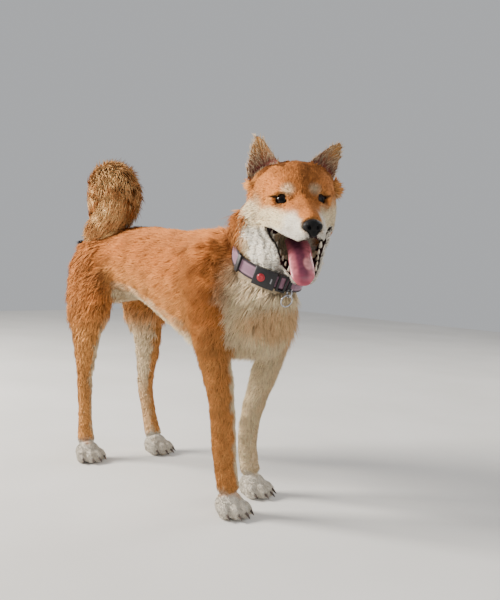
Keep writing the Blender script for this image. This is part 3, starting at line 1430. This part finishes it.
def build_strap():
    top, half = STRAP_TOP, STRAP_HALF
    across = np.linspace(-half + 0.5, half - 0.5, 25)
    section = [(0, place) for place in across] + [(0.5, half), (top - 0.5, half)]
    section += [(top, place) for place in across[::-1]] + [(top - 0.5, -half), (0.5, -half)]
    points, faces, turns = collar_band(0, 360, section, 240)
    along = np.tile([place for _, place in section], len(turns))
    edge = ramp(np.abs(along), half - 3.2, half - 2.4)
    seam = np.exp(-(((np.abs(along) - half + 4.2) / 0.35) ** 2))
    colours = np.tile(linear(158, 118, 138), (len(points), 1))
    colours = blend_in(colours, linear(206, 176, 190), 0.6 * seam)
    colours = blend_in(colours, linear(40, 26, 34), edge)
    weave = np.stack([np.repeat(turns / 360 * 1.5, len(section)), along / 40 + 0.5], axis=1)
    piece = make_mesh("strap_webbing", points, faces, strap_material, colours)
    layer = piece.data.uv_layers.new(name="weave")
    layer.data.foreach_set("uv", weave[faces.ravel()].astype(np.float32).ravel())
    place_piece(piece, ["collar_strap"])


def build_plastics():
    """The rear slide, the buckle, the keeper and the buckle's grey bar."""
    slide = rounded_section(LIFTED, LIFTED + 3.1, STRAP_HALF + 1.6, 1.1)
    place_band("collar_slide_plastic", SLIDE_BACK, slide, 8, ["collar_slide"], plastic_material)
    buckle = rounded_section(LIFTED, BUCKLE_TOP, STRAP_HALF + 2, 1.1)
    place_band("collar_buckle_plastic", BUCKLE, buckle, 24, ["collar_buckle"], plastic_material)
    build_frame()
    keeper = rounded_section(LIFTED, LIFTED + 2.5, STRAP_HALF - 1, 0.7)
    place_band("collar_keeper_plastic", KEEPER, keeper, 8, ["collar_keeper"], plastic_material)


def build_frame():
    """The front slide, an open frame: a bar at each end and a rail along each side."""
    start, end = SLIDE_FRONT
    bar = rounded_section(LIFTED, LIFTED + 2.7, STRAP_HALF + 1.6, 0.8)
    rail = rounded_section(LIFTED, LIFTED + 2.7, 10, 0.7)
    rails = [collar_band(low, low + 3.2, bar, 5)[:2] for low in (start, end - 3.2)]
    for side in (-1, 1):
        section = [(out, along * 0.13 + side * (STRAP_HALF + 0.3)) for out, along in rail]
        rails.append(collar_band(start, end, section, 12)[:2])
    piece = make_mesh("collar_frame_plastic", *joined(rails), plastic_material)
    place_piece(piece, ["collar_frame"])


def build_button():
    """The round red button on the buckle: a low disc with a dished top."""
    outward = unit(collar_point(BUTTON_AT, 1, 0) - collar_point(BUTTON_AT, 0, 0))
    centre = collar_point(BUTTON_AT, BUCKLE_TOP, 0)
    first = unit(np.cross(outward, COLLAR_AXIS))
    second = np.cross(outward, first)
    around = 48
    outline = [(0, 5.2), (0.6, 5.2), (0.9, 4.8), (0.9, 4.6), (2.0, 4.4), (2.4, 3.8), (2.1, 1.6)]
    rings = []
    for out, radius in outline:
        for angle in np.linspace(0, 2 * np.pi, around, endpoint=False):
            spoke = np.cos(angle) * first + np.sin(angle) * second
            rings.append(centre + outward * out + radius * spoke)
    points = np.array([centre, *rings, centre + outward * 2.0])
    piece = make_mesh("collar_button_red", points, capped_faces(len(outline), around), red_material)
    place_piece(piece, ["collar_button"])


def build_bar():
    """The short grey bar across the buckle's face."""
    outline = rounded_section(BUCKLE_TOP - 0.3, BUCKLE_TOP + 0.6, 8, 0.25)
    section = [(out, along * 0.42) for out, along in outline]
    place_band("buckle_bar", (-43.6, -41.8), section, 4, (), grey_material)


def build_rings():
    """The steel loop under the keeper and the ring that hangs in it."""
    middle = (KEEPER[0] + KEEPER[1]) / 2
    outward = unit(collar_point(middle, 1, 0) - collar_point(middle, 0, 0))
    out = STRAP_TOP + LOOP_RADIUS + LOOP_WIRE + CLEARANCE
    loop_at = collar_point(middle, out, 1 - STRAP_HALF)
    ring_at = loop_at - COLLAR_AXIS * (LOOP_RADIUS + RING_RADIUS - LOOP_WIRE - RING_WIRE - CLEARANCE)
    tangent = np.cross(outward, COLLAR_AXIS)
    rings = [
        ("collar_loop", LOOP_RADIUS, LOOP_WIRE, loop_at, outward),
        ("collar_ring", RING_RADIUS, RING_WIRE, ring_at, tangent),
    ]
    for node, radius, wire, centre, first in rings:
        points, faces = ring_mesh(radius, wire, centre, first, COLLAR_AXIS)
        piece = make_mesh(node + "_steel", points, faces, steel_material)
        place_piece(piece, [node])


build_eyes()
build_nose()
build_tongue()
build_teeth()
build_claws()
build_strap()
build_plastics()
build_button()
build_bar()
build_rings()


# Floor, lights and camera, in metres.
FLOOR_SIZE = 6.0


def add_floor():
    bpy.ops.mesh.primitive_plane_add(size=FLOOR_SIZE, location=(0, 0, 0))
    floor = bpy.context.object
    floor.name = "floor"
    floor.data.materials.append(floor_material)


def look_axes():
    """The camera's right, up and forward directions."""
    yaw, pitch, roll = np.radians([CAMERA_YAW, CAMERA_PITCH, CAMERA_ROLL])
    forward = np.array([np.cos(yaw) * np.cos(pitch), np.sin(yaw) * np.cos(pitch), np.sin(pitch)])
    right = np.array([np.sin(yaw), -np.cos(yaw), 0])
    up = np.cross(right, forward)
    return np.cos(roll) * right + np.sin(roll) * up, -np.sin(roll) * right + np.cos(roll) * up, forward


def add_camera():
    right, up, forward = look_axes()
    data = bpy.data.cameras.new("camera")
    camera = bpy.data.objects.new("camera", data)
    bpy.context.scene.collection.objects.link(camera)
    matrix = np.eye(4)
    matrix[:3, 0], matrix[:3, 1], matrix[:3, 2] = right, up, -forward
    matrix[:3, 3] = to_world(CAMERA_AT)
    camera.matrix_world = Matrix(matrix.tolist())
    data.sensor_width = SENSOR
    data.lens = FOCAL_PIXELS / PHOTO_HEIGHT * SENSOR
    data.clip_start = 0.05
    bpy.context.scene.camera = camera


def add_light(name, offset, size, power, colour):
    """A square area light at an offset in the camera's right, up and forward, facing the dog."""
    right, up, forward = look_axes()
    target = to_world([0, 0, 260])
    place = target + offset[0] * right + offset[1] * up + offset[2] * forward
    data = bpy.data.lights.new(name, "AREA")
    data.size = size
    data.energy = power
    data.color = colour
    light = bpy.data.objects.new(name, data)
    back = unit(place - target)
    side = unit(np.cross([0, 0, 1.0], back))
    matrix = np.eye(4)
    matrix[:3, 0], matrix[:3, 1], matrix[:3, 2], matrix[:3, 3] = side, np.cross(back, side), back, place
    light.matrix_world = Matrix(matrix.tolist())
    bpy.context.scene.collection.objects.link(light)


def add_sky():
    world = bpy.data.worlds.new("studio")
    bpy.context.scene.world = world
    world.use_nodes = True
    background = world.node_tree.nodes["Background"]
    background.inputs["Color"].default_value = (0.95, 0.97, 1.0, 1)
    background.inputs["Strength"].default_value = 0.5


add_floor()
add_camera()
add_light("key", (-2.0, 1.25, 0.1), 0.8, 150, (1.0, 0.95, 0.87))
add_light("fill", (1.3, 0.7, -1.6), 1.6, 10, (1.0, 0.98, 0.96))
add_light("rim", (1.4, 1.3, 1.2), 0.9, 16, (1.0, 0.97, 0.92))
add_sky()
